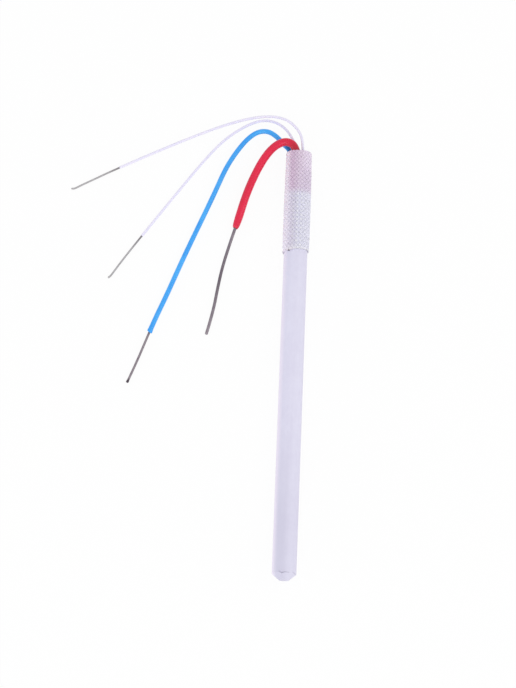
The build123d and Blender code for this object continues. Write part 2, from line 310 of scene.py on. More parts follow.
def skin(name, line, rings, around, hollow=False):
    """Skin a line. A ring is (distance, half width, half height, squareness, lean)."""
    corners, lay, faces = [], [], []
    angles = np.linspace(0, 2 * math.pi, around, endpoint=False)
    for distance, half_width, half_height, squareness, lean in rings:
        power = 2 / squareness
        wide = np.sign(np.cos(angles)) * np.abs(np.cos(angles)) ** power * half_width
        high = np.sign(np.sin(angles)) * np.abs(np.sin(angles)) ** power * half_height
        centre, ahead = line.read(line.points, distance), line.read(line.ahead, distance)
        side, up = line.read(line.side, distance), line.read(line.up, distance)
        for w, h in zip(wide, high):
            corners.append(centre + side * w + up * h + ahead * lean * w)
            lay.append((distance + lean * w, w, h))
    count = len(rings)
    for ring in range(count if hollow else count - 1):
        low, high = ring * around, (ring + 1) % count * around
        for i in range(around):
            j = (i + 1) % around
            faces.append((low + i, low + j, high + j, high + i))
    if not hollow:
        for first, turn in ((0, -1), ((count - 1) * around, 1)):
            faces.append([first + i for i in range(around)][::turn])
    return new_piece(name, corners, faces, lay)


# %% [markdown]
# ## The lead wires
#
# A real lead is drawn nickel wire. Its first 3 mm are pressed flat so that they can be brazed to
# a pad on the rod. The free end is snipped, which leaves a small chamfer, and the blue lead's end
# carries a bead of old solder. The two thin ones end in a little hook.

# %% Make the wires


def between(start, end, share):
    """A value part of the way from one to another, easing in and out."""
    eased = share * share * (3 - 2 * share)
    return start + (end - start) * eased


snip_length = 0.1 * mm
bead_length = 0.45 * mm
bead_swell = 0.05 * mm
tab_squareness = 5
wires = {}
for name, lead in leads.items():
    line, radius = lead["line"], lead["wire"] / 2 * mm
    flat_width, flat_height = lead["tab"] / 2 * mm, tab_thickness / 2 * mm
    rings = [(0.0, flat_width * 0.9, flat_height * 0.7, tab_squareness, 0)]
    for share in (0.02, 0.5, 1):
        rings.append((share * lead["tab_end"], flat_width, flat_height, tab_squareness, 0))
    for share in (0.25, 0.5, 0.75):
        distance = between(lead["tab_end"], lead["neck_end"], share)
        rings.append((distance, between(flat_width, radius, share),
                      between(flat_height, radius, share), between(tab_squareness, 2, share), 0))
    last = line.length - (bead_length if name == "blue_lead" else snip_length)
    rings += [round_ring(distance, radius) for distance in line.distance[2:] if distance < last]
    rings.append(round_ring(last, radius))
    if name == "blue_lead":
        for share in (0.2, 0.4, 0.6, 0.8, 0.95):
            swell = radius + bead_swell * math.sin(math.pi * share ** 0.8)
            rings.append((last + bead_length * share, swell, min(swell, radius * 1.1), 2, 0))
    rings.append(round_ring(line.length, radius * 0.7))
    wires[name] = skin(f"{name}_drawn_wire", line, rings, 16)
    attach(wires[name], "root")
    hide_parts(f"{name}_wire")

# %% [markdown]
# ## The insulation
#
# Each lead's insulation is a loose tube with its two ends cut across. A plain thick curve would
# look right from far away, but the cut ends show: the wall, the dark bore and the wire inside it.
# So the skin goes along the outside and back through the bore. The cuts have a small bevel and
# lean a little, and the outside swells and shrinks by a hundredth, as an extruded tube's does.

# %% Make the insulation tubes
cut_bevel = 0.05 * mm
tube_swell = 0.008
cut_lean = {
    "red_lead": 0.12, "blue_lead": -0.45, "upper_white_lead": 0.2, "lower_white_lead": -0.2}
# Widths near the far end, as shares of the full width at distances from the end in mm.
end_shape = {
    "red_lead": ([0, 0.12, 0.35, 0.75, 1.3, 2.0], [0.6, 0.72, 0.82, 0.9, 0.96, 1]),
    "blue_lead": ([0, 0.15, 0.5, 0.9], [1.12, 1.12, 1.04, 1]),
}
covers = {}
for name, lead in leads.items():
    line, outer, bore = lead["line"], lead["cover"] / 2 * mm, lead["bore"] / 2 * mm
    start, end, lean = lead["cover_start"], lead["cover_end"], cut_lean[name]
    inside = [d for d in line.distance if start + 4 * cut_bevel < d < end - 4 * cut_bevel]
    bevel = min(cut_bevel, (outer - bore) * 0.4)
    end_stops, end_widths = end_shape.get(name, ([0], [1]))
    rings = [round_ring(start, outer - bevel), round_ring(start + bevel, outer)]
    for distance in inside:
        way = distance / mm
        swell = outer * (1 + tube_swell * math.sin(way * 2.1) * math.sin(way * 0.7))
        swell *= np.interp((end - distance) / mm, end_stops, end_widths)
        rings.append(round_ring(distance, swell))
    outer = outer * end_widths[0]
    end_bore = min(bore, outer * 0.8)
    rings += [round_ring(end - bevel, outer, lean), round_ring(end, outer - bevel, lean),
              round_ring(end, end_bore, lean), round_ring(end - 2 * bevel, end_bore, lean)]
    rings += [round_ring(way, bore) for way in inside[::-1] if way < end - 0.5 * mm]
    rings.append(round_ring(start, bore))
    covers[name] = skin(f"{name}_insulation_tube", line, rings, 28, hollow=True)
    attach(covers[name], "root")
    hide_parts(f"{name}_insulation")

for name, lead in leads.items():
    line = lead["line"]
    leaves = line.points[int((line.points[:, 1] > mouth_y).argmax())]
    lead["wire"] * mm

# %% [markdown]
# ## The rod
#
# The rod is a solid core with a thin printed sheet wrapped round it, fired into one. Both are
# round, so they are turned as on a lathe: half of the section is drawn as a flat face and spun
# about the axis. The sheet's two long edges don't quite meet, so its section is spun a little
# less than a full turn, which leaves the seam open on the underside.

# %% Turn the core and the sheet
seam_width = 0.35 * mm
seam_angle = math.degrees(seam_width / rod_radius)
chamfer_length = 0.95 * mm
tip_face_radius = 0.78 * mm
weld_gap = 1e-7
a_hair = 1e-6


def mode(name):
    """Go to EDIT or OBJECT mode. In edit mode, everything is then selected."""
    bpy.ops.object.mode_set(mode=name)
    if name == "EDIT":
        bpy.ops.mesh.select_all(action="SELECT")


def pick(piece, kind, test):
    """In edit mode, select the vertices, edges or faces that pass a test."""
    modes = {"verts": "VERT", "edges": "EDGE", "faces": "FACE"}
    bpy.ops.mesh.select_mode(type=modes[kind])
    bpy.ops.mesh.select_all(action="DESELECT")
    shape = bmesh.from_edit_mesh(piece.data)
    for part in getattr(shape, kind):
        if test(part):
            part.select_set(True)
    shape.select_flush_mode()
    bmesh.update_edit_mesh(piece.data)


def cut_line(y, clear=False, normal=(0, 1, 0), x=0.0):
    """Cut the whole mesh along a plane, and drop what lies before the plane if asked."""
    bpy.ops.mesh.select_all(action="SELECT")
    bpy.ops.mesh.bisect(plane_co=(x, y, 0), plane_no=normal, clear_inner=clear, threshold=weld_gap)


def turned_piece(name, inner, outer, rings):
    """Draw a turned piece's section from one radius to another, with its chamfer, in edit mode."""
    bpy.ops.object.select_all(action="DESELECT")
    middle = ((inner + outer) / 2, (tip_y + rear_y) / 2, 0)
    bpy.ops.mesh.primitive_plane_add(size=1, location=middle)
    piece = bpy.context.object
    piece.name = piece.data.name = name
    mode("EDIT")
    bpy.ops.transform.resize(value=(outer - inner, rear_y - tip_y, 1))
    mode("OBJECT")
    bpy.ops.object.transform_apply()
    mode("EDIT")
    slope = (-chamfer_length, rod_radius - tip_face_radius, 0)
    cut_line(tip_y, clear=True, normal=slope, x=tip_face_radius)
    for y in rings:
        cut_line(y)
    return piece


def spin_up(piece, degrees, steps, seam=0.0):
    """Spin the selected outline about the rod's axis, weld it and turn its faces outwards."""
    bpy.ops.mesh.spin(steps=steps, angle=math.radians(degrees), center=(0, 0, 0), axis=(0, -1, 0))
    bpy.ops.mesh.select_all(action="SELECT")
    bpy.ops.mesh.remove_doubles(threshold=weld_gap)
    bpy.ops.mesh.normals_make_consistent(inside=False)
    mode("OBJECT")
    piece.data.transform(Matrix.Rotation(math.radians(90 - seam), 4, "Y"))
    piece.data.transform(Matrix.Translation(axis_point))
    piece.data.shade_smooth()
    bpy.ops.object.shade_smooth_by_angle(angle=math.radians(25))


corner_ease = 0.03 * mm
relief_run = 1 * mm
edge_y = tip_y + chamfer_length
close_rings = [edge_y + i * 0.05 * mm for i in range(-5, 9)]
long_rings = [edge_y + i * 2.5 * mm for i in range(1, 21)]

sheet = turned_piece("rod_sheet", core_radius, rod_radius, [])
pick(sheet, "verts", lambda vertex: vertex.co.x > rod_radius - a_hair)
bpy.ops.mesh.bevel(offset=corner_ease, segments=2, affect="VERTICES")
for y in [*close_rings, *long_rings, sleeve_front_y, sleeve_front_y + relief_run]:
    cut_line(y)
pick(sheet, "verts", lambda vertex: vertex.co.y > sleeve_front_y + relief_run * 0.9
     and vertex.co.x > core_radius + 10 * a_hair)
bpy.ops.transform.translate(value=(-seat_relief, 0, 0))
pick(sheet, "faces", lambda face: True)
spin_up(sheet, 360 - seam_angle, 200, seam=-seam_angle / 2)


def is_inside(edge):
    """Whether an edge of the core's section lies on the axis or crosses to it between the ends."""
    on_axis = [vertex.co.x < weld_gap for vertex in edge.verts]
    between_ends = tip_y + a_hair < edge.verts[0].co.y < rear_y - a_hair
    return all(on_axis) or (any(on_axis) and between_ends)


core = turned_piece("rod_core", 0.0, core_radius, [tip_y + 5 * mm * i for i in range(1, 13)])
pick(core, "faces", lambda face: True)
bpy.ops.mesh.delete(type="ONLY_FACE")
pick(core, "edges", is_inside)
bpy.ops.mesh.delete(type="EDGE")
pick(core, "edges", lambda edge: True)
spin_up(core, 360, 160)
for piece, node in ((sheet, "ceramic_sheet"), (core, "ceramic_core")):
    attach(piece, "root")
    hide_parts(node)
    print(piece.name, len(piece.data.vertices), "vertices")

# %% [markdown]
# ## Chips at the tip
#
# Fired alumina is brittle, and this rod has lost a few flakes from the edge of its chamfer. A
# boolean cut would leave clean planes. A flake is a shallow gash with a ragged border, so the
# points of the edge are pushed in towards the axis instead, by an amount that falls off from a
# short broken line. The falloff is also kept as an attribute, which makes the chips darker.

# %% Chip the edge
# Each gash is a row of (angle, y past the chamfer's edge, half width, depth), in degrees and mm.
gashes = [
    [(121, 0.22, 0.06, 0.06), (112, 0.13, 0.09, 0.16), (103, -0.04, 0.13, 0.24),
     (97, 0.02, 0.09, 0.18), (86, 0.05, 0.09, 0.14), (68, 0.02, 0.08, 0.09)],
    [(50, 0.12, 0.06, 0.05), (38, 0.07, 0.09, 0.09), (24, 0.0, 0.09, 0.1),
     (12, -0.14, 0.06, 0.08)],
    [(99, -0.42, 0.03, 0.015), (94, -0.34, 0.04, 0.03), (90, -0.24, 0.03, 0.02)],
    [(8, -0.38, 0.07, 0.09), (-4, -0.3, 0.08, 0.1)],
    [(133, 0.3, 0.06, 0.012), (128, 0.36, 0.06, 0.012)],
]


def gash_depth(across, along, rows):
    """Depth and darkening of one gash at places across and along the rod's surface, in mm."""
    depth = darkening = np.zeros_like(across)
    for (a0, y0, w0, d0), (a1, y1, w1, d1) in zip(rows, rows[1:]):
        start = np.array([math.radians(a0) * rod_radius / mm, y0])
        step = np.array([math.radians(a1) * rod_radius / mm, y1]) - start
        aside, ahead = across - start[0], along - start[1]
        share = np.clip((aside * step[0] + ahead * step[1]) / (step @ step), 0, 1)
        gap = np.hypot(aside - share * step[0], ahead - share * step[1])
        width, deep = w0 + share * (w1 - w0), d0 + share * (d1 - d0)
        depth = np.maximum(depth, deep * np.clip(1 - gap / width, 0, 1) ** 0.7)
        darkening = np.maximum(darkening, np.clip(1.15 - gap / width, 0, 1) * np.clip(deep / 0.2, 0, 1))
    return depth, darkening


def read_rows(data, key):
    """A mesh's points, or an attribute's vectors, as rows of three numbers."""
    values = np.empty(len(data) * 3)
    data.foreach_get(key, values)
    return values.reshape(-1, 3)


def keep_values(piece, name, values):
    """Keep one number for each point of a piece, as an attribute for its material."""
    attribute = piece.data.attributes.new(name, "FLOAT", "POINT")
    attribute.data.foreach_set("value", values.astype(np.float32))


edge_wave = 0.012 * mm
raggedness = 0.12
places = read_rows(sheet.data.vertices, "co")
spoke = places - np.array(axis_point)
reach = np.hypot(spoke[:, 0], spoke[:, 2])
turn = np.arctan2(spoke[:, 2], spoke[:, 0])
outside = reach > core_radius + 20 * a_hair
ragged = np.random.default_rng(7).normal(0, raggedness, len(places))
# How far each point is pushed in, and how much darker it is in a chip.
push = chip_darkening = np.zeros(len(places))
for rows in gashes:
    depth, darkening = gash_depth(turn * rod_radius / mm, (places[:, 1] - edge_y) / mm, rows)
    push = np.maximum(push, depth * (1 + ragged))
    chip_darkening = np.maximum(chip_darkening, darkening)
wavy = edge_wave * np.sin(turn * 7) * np.sin(turn * 3 + 1)
on_edge = outside & (np.abs(places[:, 1] - edge_y) < 0.1 * mm)
places[on_edge, 1] += wavy[on_edge]
scale = np.where(outside, 1 - push * mm / reach, 1)
places[:, 0] = axis_point.x + spoke[:, 0] * scale
places[:, 2] = axis_point.z + spoke[:, 2] * scale
sheet.data.vertices.foreach_set("co", places.ravel())
keep_values(sheet, "chip_darkening", chip_darkening * outside)
sheet.data.update()
print("deepest chip", round(float((push * outside).max()), 2), "mm")

# %% [markdown]
# ## The braided sleeve
#
# The sleeve is braided from glass fibre: twenty-one flat strands wind one way and as many the
# other, and each goes over one and under the next. A bump map can't show the gaps, nor the steps
# where strands dive under each other, so the strands are real. They are made lying flat first.
# One strand is drawn out over two crossings, repeated to the sleeve's length and cut at both
# ends, and copied across. The flat braid is then wrapped round the rod.

# %% Draw out the strands
# Sizes are in mm here, and become metres when the braid is wrapped.
strands_each_way = 21
strand_width = 0.47
strand_height = 0.12
braid_depth = 0.24
mouth_trim = 0.36
sleeve_run = (mouth_y - sleeve_front_y) / mm - mouth_trim
sleeve_inner_half, sleeve_corner = 1.93, 1.2
sleeve_around = 8 * (sleeve_inner_half - sleeve_corner) + 2 * math.pi * sleeve_corner
column = sleeve_around / (2 * strands_each_way)
row_count = 47
row = sleeve_run / row_count
first_row = 0.3
height_swing = (braid_depth - strand_height) / 2
top_column = 0.55
end_radius = sleeve_inner_half - 0.02
spot_x, pull = -1.1, 0.2


def strand_lift(rows, side):
    """Height of a strand's middle, going over and under, with flat tops and bottoms."""
    wave = max(-1.0, min(1.0, 1.25 * math.cos(math.pi * rows)))
    return braid_depth / 2 + side * height_swing * wave


def repeat(piece, count, offset, merge=False):
    """Repeat a piece in a row, each copy offset from the last."""
    rows = piece.modifiers.new("repeat", "ARRAY")
    rows.use_relative_offset, rows.use_constant_offset = False, True
    rows.constant_offset_displace = offset
    rows.count = count
    rows.use_merge_vertices, rows.merge_threshold = merge, 0.001
    bpy.ops.object.modifier_apply(modifier=rows.name)


def draw_strands(name, side):
    """One family of flat strands, in mm. Side 1 leans right and is on top first, -1 leans left."""
    bpy.ops.object.select_all(action="DESELECT")
    step = Vector((side * column, row, 0))
    turn = math.atan2(-step.x, step.y)
    start = Vector((-2 * side * column, -(2 + first_row) * row, strand_lift(0, side)))
    bpy.ops.mesh.primitive_circle_add(vertices=10, radius=1, fill_type="NOTHING", location=start,
                                      rotation=(math.pi / 2, 0, turn))
    piece = bpy.context.object
    piece.name = piece.data.name = name
    piece.scale = (strand_width / 2, strand_height / 2, 1)
    bpy.ops.object.transform_apply()
    mode("EDIT")
    for quarter in range(1, 9):
        lift = strand_lift(quarter / 4, side) - strand_lift((quarter - 1) / 4, side)
        move = (step.x / 4, step.y / 4, lift)
        bpy.ops.mesh.extrude_region_move(TRANSFORM_OT_translate={"value": move})
    mode("OBJECT")
    repeat(piece, 26, (2 * step.x, 2 * step.y, 0), merge=True)
    for y, keep in ((0, 1), (sleeve_run, -1)):
        mode("EDIT")
        bpy.ops.mesh.bisect(plane_co=(0, y, 0), plane_no=(0, keep, 0), clear_inner=True,
                            use_fill=True, threshold=1e-5)
    mode("OBJECT")
    along = step.normalized()
    across = Vector((along.y, -along.x, 0))
    lay = piece.data.attributes.new("lay", "FLOAT_VECTOR", "POINT")
    for vertex, value in zip(piece.data.vertices, lay.data):
        value.vector = (vertex.co.dot(along), vertex.co.dot(across), vertex.co.z)
    one_strand = len(piece.data.vertices)
    repeat(piece, strands_each_way, (2 * column, 0, 0))
    return piece, one_strand


# %% [markdown]
# ## Wrapping the braid
#
# A sleeve of this kind isn't quite round: it was pressed flat in its pack and keeps faint
# corners. The flat braid's width becomes the way round a square with large rounded corners, and
# its height becomes the distance outwards. Past the rod's end nothing holds it open, so it draws
# in a little. Its front edge was cut at a slight slant, and a bit of it is pulled forwards where
# the dirty spot is. Every strand also wanders a little, as in any real braid.

# %% Wrap the braid round the rod


def round_section(fraction):
    """Points on the sleeve's bore, and directions outwards, at fractions of the way round."""
    straight = sleeve_inner_half - sleeve_corner
    quarter = 2 * straight + sleeve_corner * math.pi / 2
    way = np.mod(fraction, 1) * 4 * quarter + straight
    side = np.floor(way / quarter)
    rest = way - side * quarter
    turn = np.clip((rest - 2 * straight) / sleeve_corner, 0, math.pi / 2)
    flat = rest < 2 * straight
    out = np.stack([np.where(flat, 1, np.cos(turn)), np.where(flat, 0, np.sin(turn))])
    spot = np.stack([np.where(flat, sleeve_inner_half, straight + out[0] * sleeve_corner),
                     np.where(flat, rest - straight, straight + out[1] * sleeve_corner)])
    turned_by = side * math.pi / 2
    c, s = np.cos(turned_by), np.sin(turned_by)
    return [np.stack([c * x - s * y, s * x + c * y]) for x, y in (spot, out)]


def wrap_strands(piece, one_strand, seed, family_sheen):
    """Wrap a flat family of strands round the rod, with a little wander."""
    chance = np.random.default_rng(seed)
    x, y, z = read_rows(piece.data.vertices, "co").T
    strand = np.arange(len(x)) // one_strand
    phase = chance.uniform(0, 2 * math.pi, (4, strands_each_way))[:, strand]
    x = x + 0.016 * np.sin(y * 1.3 + phase[0]) + 0.012 * np.sin(y * 3.1 + phase[1])
    y = y + 0.02 * np.sin(x * 1.7 + phase[2]) * np.sin(y * math.pi / sleeve_run)
    z = z + 0.006 * np.sin(y * 2.3 + phase[3])
    place = sleeve_front_y / mm + y
    narrowing = [rear_y / mm - 0.5, rear_y / mm + 1.5, mouth_y / mm]
    draw_in = np.interp(place, narrowing, [0, 0.035, 0.06])
    x = x + top_column * column
    spot, out = round_section(x / sleeve_around)
    hug = np.interp(y, [0, 0.3, 2.5, sleeve_run - 4, sleeve_run], [1, 0.9, 0, 0, 0.7])
    way = 2 * math.pi * x / sleeve_around
    circle = np.stack([np.cos(way), np.sin(way)])
    spot, out = spot + (end_radius * circle - spot) * hug, out + (circle - out) * hug
    ring = spot + out * (z - draw_in)
    slant = np.interp(y, [0, 4], [1, 0]) * (0.08 * ring[0] - 0.08)
    pulled = np.exp(-((ring[0] - spot_x) / 0.45) ** 2) * (ring[1] > 0)
    slant = slant - pull * pulled * np.interp(y, [0, 0.7], [1, 0])
    wrapped = np.stack([ring[0], place + slant, ring[1] + axis_height / mm], axis=1) * mm
    piece.data.vertices.foreach_set("co", wrapped.ravel())
    lay = read_rows(piece.data.attributes["lay"].data, "vector")
    lay[:, 0] += chance.uniform(0, 40, strands_each_way)[strand]
    lay[:, 2] = (lay[:, 2] - braid_depth / 2) / (braid_depth / 2)
    piece.data.attributes["lay"].data.foreach_set("vector", lay.ravel())
    # Each strand's tone varies at random, and one family is painted lighter as a sheen.
    shade = chance.uniform(-0.15, 0.15, strands_each_way)[strand] + family_sheen
    keep_values(piece, "tone", shade)


right_strands, one_right = draw_strands("sleeve_braid", 1)
left_strands, one_left = draw_strands("sleeve_braid_left", -1)
wrap_strands(right_strands, one_right, 11, 0.85)
wrap_strands(left_strands, one_left, 12, 0.15)
bpy.ops.object.select_all(action="DESELECT")
left_strands.select_set(True)
right_strands.select_set(True)
bpy.context.view_layer.objects.active = right_strands
bpy.ops.object.join()
braid = bpy.context.object
mode("EDIT")
bpy.ops.mesh.normals_make_consistent(inside=False)
mode("OBJECT")
braid.data.shade_smooth()
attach(braid, "root")
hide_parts("braided_sleeve")
print("braid", len(braid.data.polygons), "faces")

# %% [markdown]
# ## A way to write materials
#
# A material is a net of nodes, and linking them one by one makes long code that hides what it
# means. Here a small class stands for one socket, and arithmetic on it adds the Math nodes, so a
# mask is written as a formula. One method adds every other node.

# %% Write nodes as expressions


class Wire:
    """The output of a node. Arithmetic on it adds Math nodes to its finish."""

    def __init__(self, finish, socket):
        self.finish, self.socket = finish, socket

    def maths(self, kind, *values, clamp=False):
        return self.finish.node("Math", *values, operation=kind, use_clamp=clamp)

    def __add__(self, other):
        return self.maths("ADD", self, other)

    def __sub__(self, other):
        return self.maths("SUBTRACT", self, other)

    def __rsub__(self, other):
        return self.maths("SUBTRACT", other, self)

    def __mul__(self, other):
        return self.maths("MULTIPLY", self, other)

    __radd__, __rmul__ = __add__, __mul__

    def held(self):
        """The value kept between 0 and 1."""
        return self.maths("ADD", self, 0.0, clamp=True)

    def largest(self, other):
        return self.maths("MAXIMUM", self, other)

    def ramp(self, low, high):
        """0 below low, 1 above high and a smooth rise between. Low may be above high."""
        return self.finish.node("MapRange", self, low, high, 0.0, 1.0,
                                interpolation_type="SMOOTHSTEP")


class Finish:
    """A material, or the world's background, under construction."""

    def __init__(self, name, library="materials"):
        self.made = getattr(bpy.data, library).new(name)
        self.made.use_nodes = True
        self.nodes = self.made.node_tree.nodes
        self.links = self.made.node_tree.links
        self.nodes.clear()

    def node(self, kind, *values, output=0, sockets=None, **settings):
        """Add a node: its settings, then its sockets' values or wires, and give an output."""
        node = self.nodes.new("ShaderNode" + kind)
        for key, value in settings.items():
            setattr(node, key, value)
        pairs = list(enumerate(values)) + list((sockets or {}).items())
        for key, value in pairs:
            if isinstance(value, Wire):
                self.links.new(value.socket, node.inputs[key])
            elif value is not None:
                node.inputs[key].default_value = value
        return Wire(self, node.outputs[output])

    def place(self):
        """The point on the object."""
        return self.node("TexCoord", output="Object")

    def attribute(self, name, output="Vector"):
        return self.node("Attribute", output=output, attribute_name=name)

    def split(self, vector):
        """The three parts of a vector."""
        first = self.node("SeparateXYZ", vector)
        return [Wire(self, first.socket.node.outputs[i]) for i in range(3)]

    def noise(self, vector, scale, detail, stretch=None):
        """Cloudy values from 0 to 1, on a vector whose parts are scaled first if asked."""
        if stretch:
            vector = self.node("VectorMath", vector, stretch, operation="MULTIPLY")
        return self.node("TexNoise", sockets={
            "Vector": vector, "Scale": scale, "Detail": detail, "Roughness": 0.55})

    def cells(self, vector, scale):
        """The distance to the nearest of many scattered points."""
        return self.node("TexVoronoi", output="Distance", sockets={
            "Vector": vector, "Scale": scale})

    def blend(self, share, first, second):
        """A colour or value part of the way from the first to the second."""
        return self.node("Mix", output=2, data_type="RGBA",
                         sockets={0: share, 6: first, 7: second})

    def layers(self, base, *coats):
        """A colour with others laid over it in turn, each given as (share, colour)."""
        for share, tint in coats:
            base = self.blend(share, base, tint)
        return base

    def bump(self, height, distance, strength=1.0):
        return self.node("Bump", output="Normal", sockets={
            "Height": height, "Distance": distance, "Strength": strength})

    def surface(self, **sockets):
        """End with a Principled surface. Underscores in the names stand for spaces."""
        sockets = {key.replace("_", " "): value for key, value in sockets.items()}
        self.end(self.node("BsdfPrincipled", sockets=sockets, output="BSDF"))

    def end(self, shader, kind="OutputMaterial"):
        """Join the last shader to the output."""
        output = self.nodes.new("ShaderNode" + kind)
        self.links.new(shader.socket, output.inputs["Surface"])

    def seen_directly(self):
        """1 for rays from the camera, a reflection or a clear skin, 0 for light on the part."""
        path = self.node("LightPath", output="Is Camera Ray")
        outputs = path.socket.node.outputs
        mirrored = Wire(self, outputs["Is Glossy Ray"])
        return path.largest(mirrored).largest(Wire(self, outputs["Is Transmission Ray"]))


def colour(red, green, blue):
    """A colour written as the eye sees it, from 0 to 255, turned to light."""
    def light(level):
        level = level / 255
        return level / 12.92 if level < 0.04045 else ((level + 0.055) / 1.055) ** 2.4
    return (light(red), light(green), light(blue), 1.0)


# %% [markdown]
# ## Fired alumina
#
# The rod is white ceramic with a faint lilac cast. It is matt, a little cloudy, with fine pits
# from firing and faint streaks along it from the sheet's rolling. The chips are darker. All
# of this is a few percent, so it is mixed from noise at three sizes, and the chips' darkening
# comes from their attribute. A painted highlight lightens the left edge, and painted shade
# darkens the rod towards the tip, most left of the middle.

# %% Make the alumina
alumina = Finish("fired_alumina")
place = alumina.place()
x, y = alumina.split(place)[:2]
clouds = alumina.noise(place, 320, 3)
patches = alumina.noise(place, 1400, 3)
streaks = alumina.noise(place, 2600, 2, (1, 0.04, 1))
pit_mask = alumina.cells(place, 2600).ramp(0.16, 0.05)
grain = alumina.noise(place, 11000, 3)
tone = clouds.ramp(0.3, 0.7) * 0.45 + patches.ramp(0.3, 0.7) * 0.3 + streaks.ramp(0.3, 0.7) * 0.25
# Painted highlight: the rod's left edge is lighter.
painted_left_edge_light = (x * -1).ramp(1.1 * mm, 1.9 * mm)
near_tip = y.ramp(tip_y + 1.9 * mm, tip_y + 0.9 * mm)
specks = alumina.noise(place, 5200, 2).ramp(0.62, 0.7) * near_tip
# The chips are darker, by their attribute and a little noise.
darkening = alumina.attribute("chip_darkening", "Fac") * alumina.noise(place, 9000, 3).ramp(0.25, 0.6)
# Painted shade: the rod is darker towards the tip, most left of the middle.
shade_side = x.ramp(0.6 * mm, -0.4 * mm)
painted_shade_near_tip = y.ramp(-6 * mm, tip_y + 6 * mm) * (1 - painted_left_edge_light)
body = alumina.layers(
    alumina.blend(tone, colour(221, 218, 238), colour(228, 226, 244)),
    (painted_left_edge_light * 0.8, colour(244, 234, 250)),
    (specks * 0.5, colour(238, 234, 247)),
    (pit_mask * 0.12, colour(176, 172, 186)),
    (darkening.held(), colour(138, 131, 150)),
    (painted_shade_near_tip * (0.2 + shade_side * 0.4), colour(203, 200, 220)))
height = grain * 0.5 + patches * 0.5 - pit_mask * 0.6
alumina.surface(Base_Color=body, Roughness=0.44 + tone * 0.12 + darkening * 0.2,
                Specular_IOR_Level=0.4, Normal=alumina.bump(height, 0.000006, 0.6))
print("alumina nodes:", len(alumina.nodes))

# %% [markdown]
# ## Printed tracks, pads and braze
#
# Inside the rod lie two tracks of tungsten print, and under the sleeve each lead is brazed to a
# plated pad. None of it shows in the picture, but anyone who takes the sleeve away sees it. The
# CAD shapes are right, so only finishes are made: a dark sintered print, satin nickel and a
# silvery braze that has darkened a little.

# %% Make the hidden finishes
sintered = Finish("tungsten_print")
place = sintered.place()
sinter = sintered.noise(place, 9000, 4)
sintered.surface(
    Base_Color=sintered.blend(sinter, colour(86, 85, 88), colour(134, 132, 134)),
    Metallic=0.6, Roughness=0.5 + sinter * 0.3, Normal=sintered.bump(sinter, 0.00001))

plated = Finish("nickel_pad")
place = plated.place()
brushed = plated.noise(place, 9000, 3, (1, 0.08, 1))
heat = plated.noise(place, 900, 2)
plated.surface(
    Base_Color=plated.blend(heat.ramp(0.4, 0.75), colour(214, 211, 205), colour(196, 184, 164)),
    Metallic=1.0, Roughness=0.3 + brushed * 0.2, Normal=plated.bump(brushed, 0.000004))

brazed = Finish("silver_braze")
place = brazed.place()
ripple = brazed.noise(place, 3500, 3)
brazed.surface(
    Base_Color=brazed.blend(ripple.ramp(0.35, 0.7), colour(216, 208, 190), colour(178, 160, 132)),
    Metallic=1.0, Roughness=0.22 + ripple * 0.25, Normal=brazed.bump(ripple, 0.00002))

hidden = {"track": sintered, "pad": plated, "braze": brazed}
for name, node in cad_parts.items():
    kind = name.split("_")[-1]
    if kind in hidden:
        for material_slot in node.material_slots:
            material_slot.material = hidden[kind].made
        print("carried over:", name)

# %% [markdown]
# ## Drawn nickel wire
#
# The wires are drawn nickel, gone dull from heat. Drawing leaves fine lines along the wire, so
# the pattern follows the lay attribute, which runs along each cord. Near the insulation's cut end
# the wire is darker with flux, and the blue lead's bead is old solder. Both come from a stain
# attribute.

# %% Make the wire
for name, lead in leads.items():
    end, length = lead["cover_end"], lead["line"].length
    if name == "blue_lead":
        stops = [0, end, end + 1 * mm, length - 0.6 * mm, length - 0.4 * mm]
        levels = [0, 0.35, 0.15, 0.15, 0.9]
    elif name == "red_lead":
        stops = [0, end - 1 * mm, end + 1.5 * mm, end + 9 * mm, length - 3 * mm, length]
        levels = [0, 0.5, 0.2, 0.62, 0.2, 0]
    else:
        stops = [0, end - 1 * mm, end + 0.2 * mm, end + 2.6 * mm, length]
        levels = [0.1, 0.2, 0.6, 0.1, 0]
    way = read_rows(wires[name].data.attributes["lay"].data, "vector")[:, 0]
    keep_values(wires[name], "stain", np.interp(way, stops, levels))


def drawn_metal(name, dull, bright, darkening):
    """Metal with fine lines along the wire, blotches and stains."""
    finish = Finish(name)
    lay = finish.attribute("lay")
    lines = finish.noise(lay, 16000, 3, (0.03, 1, 1))
    blotches = finish.noise(lay, 1500, 3)
    stain = (finish.attribute("stain", "Fac") * (0.75 + blotches * 0.5)).held()
    metal = finish.layers(dull, (blotches.ramp(0.3, 0.7), bright), (stain, darkening))
    finish.surface(Base_Color=metal, Metallic=0.55, Roughness=0.42 + lines * 0.1 + stain * 0.2,
                   Normal=finish.bump(lines, 0.000002, 0.5))
    return finish.made


thick_nickel = drawn_metal(
    "drawn_nickel", colour(138, 127, 136), colour(156, 147, 154), colour(78, 68, 78))
thin_nickel = drawn_metal(
    "thin_nickel", colour(168, 165, 167), colour(184, 182, 184), colour(96, 86, 94))
for name, wire in wires.items():
    wire.data.materials.append(thin_nickel if "white" in name else thick_nickel)
print("wires:", [wire.data.materials[0].name for wire in wires.values()])
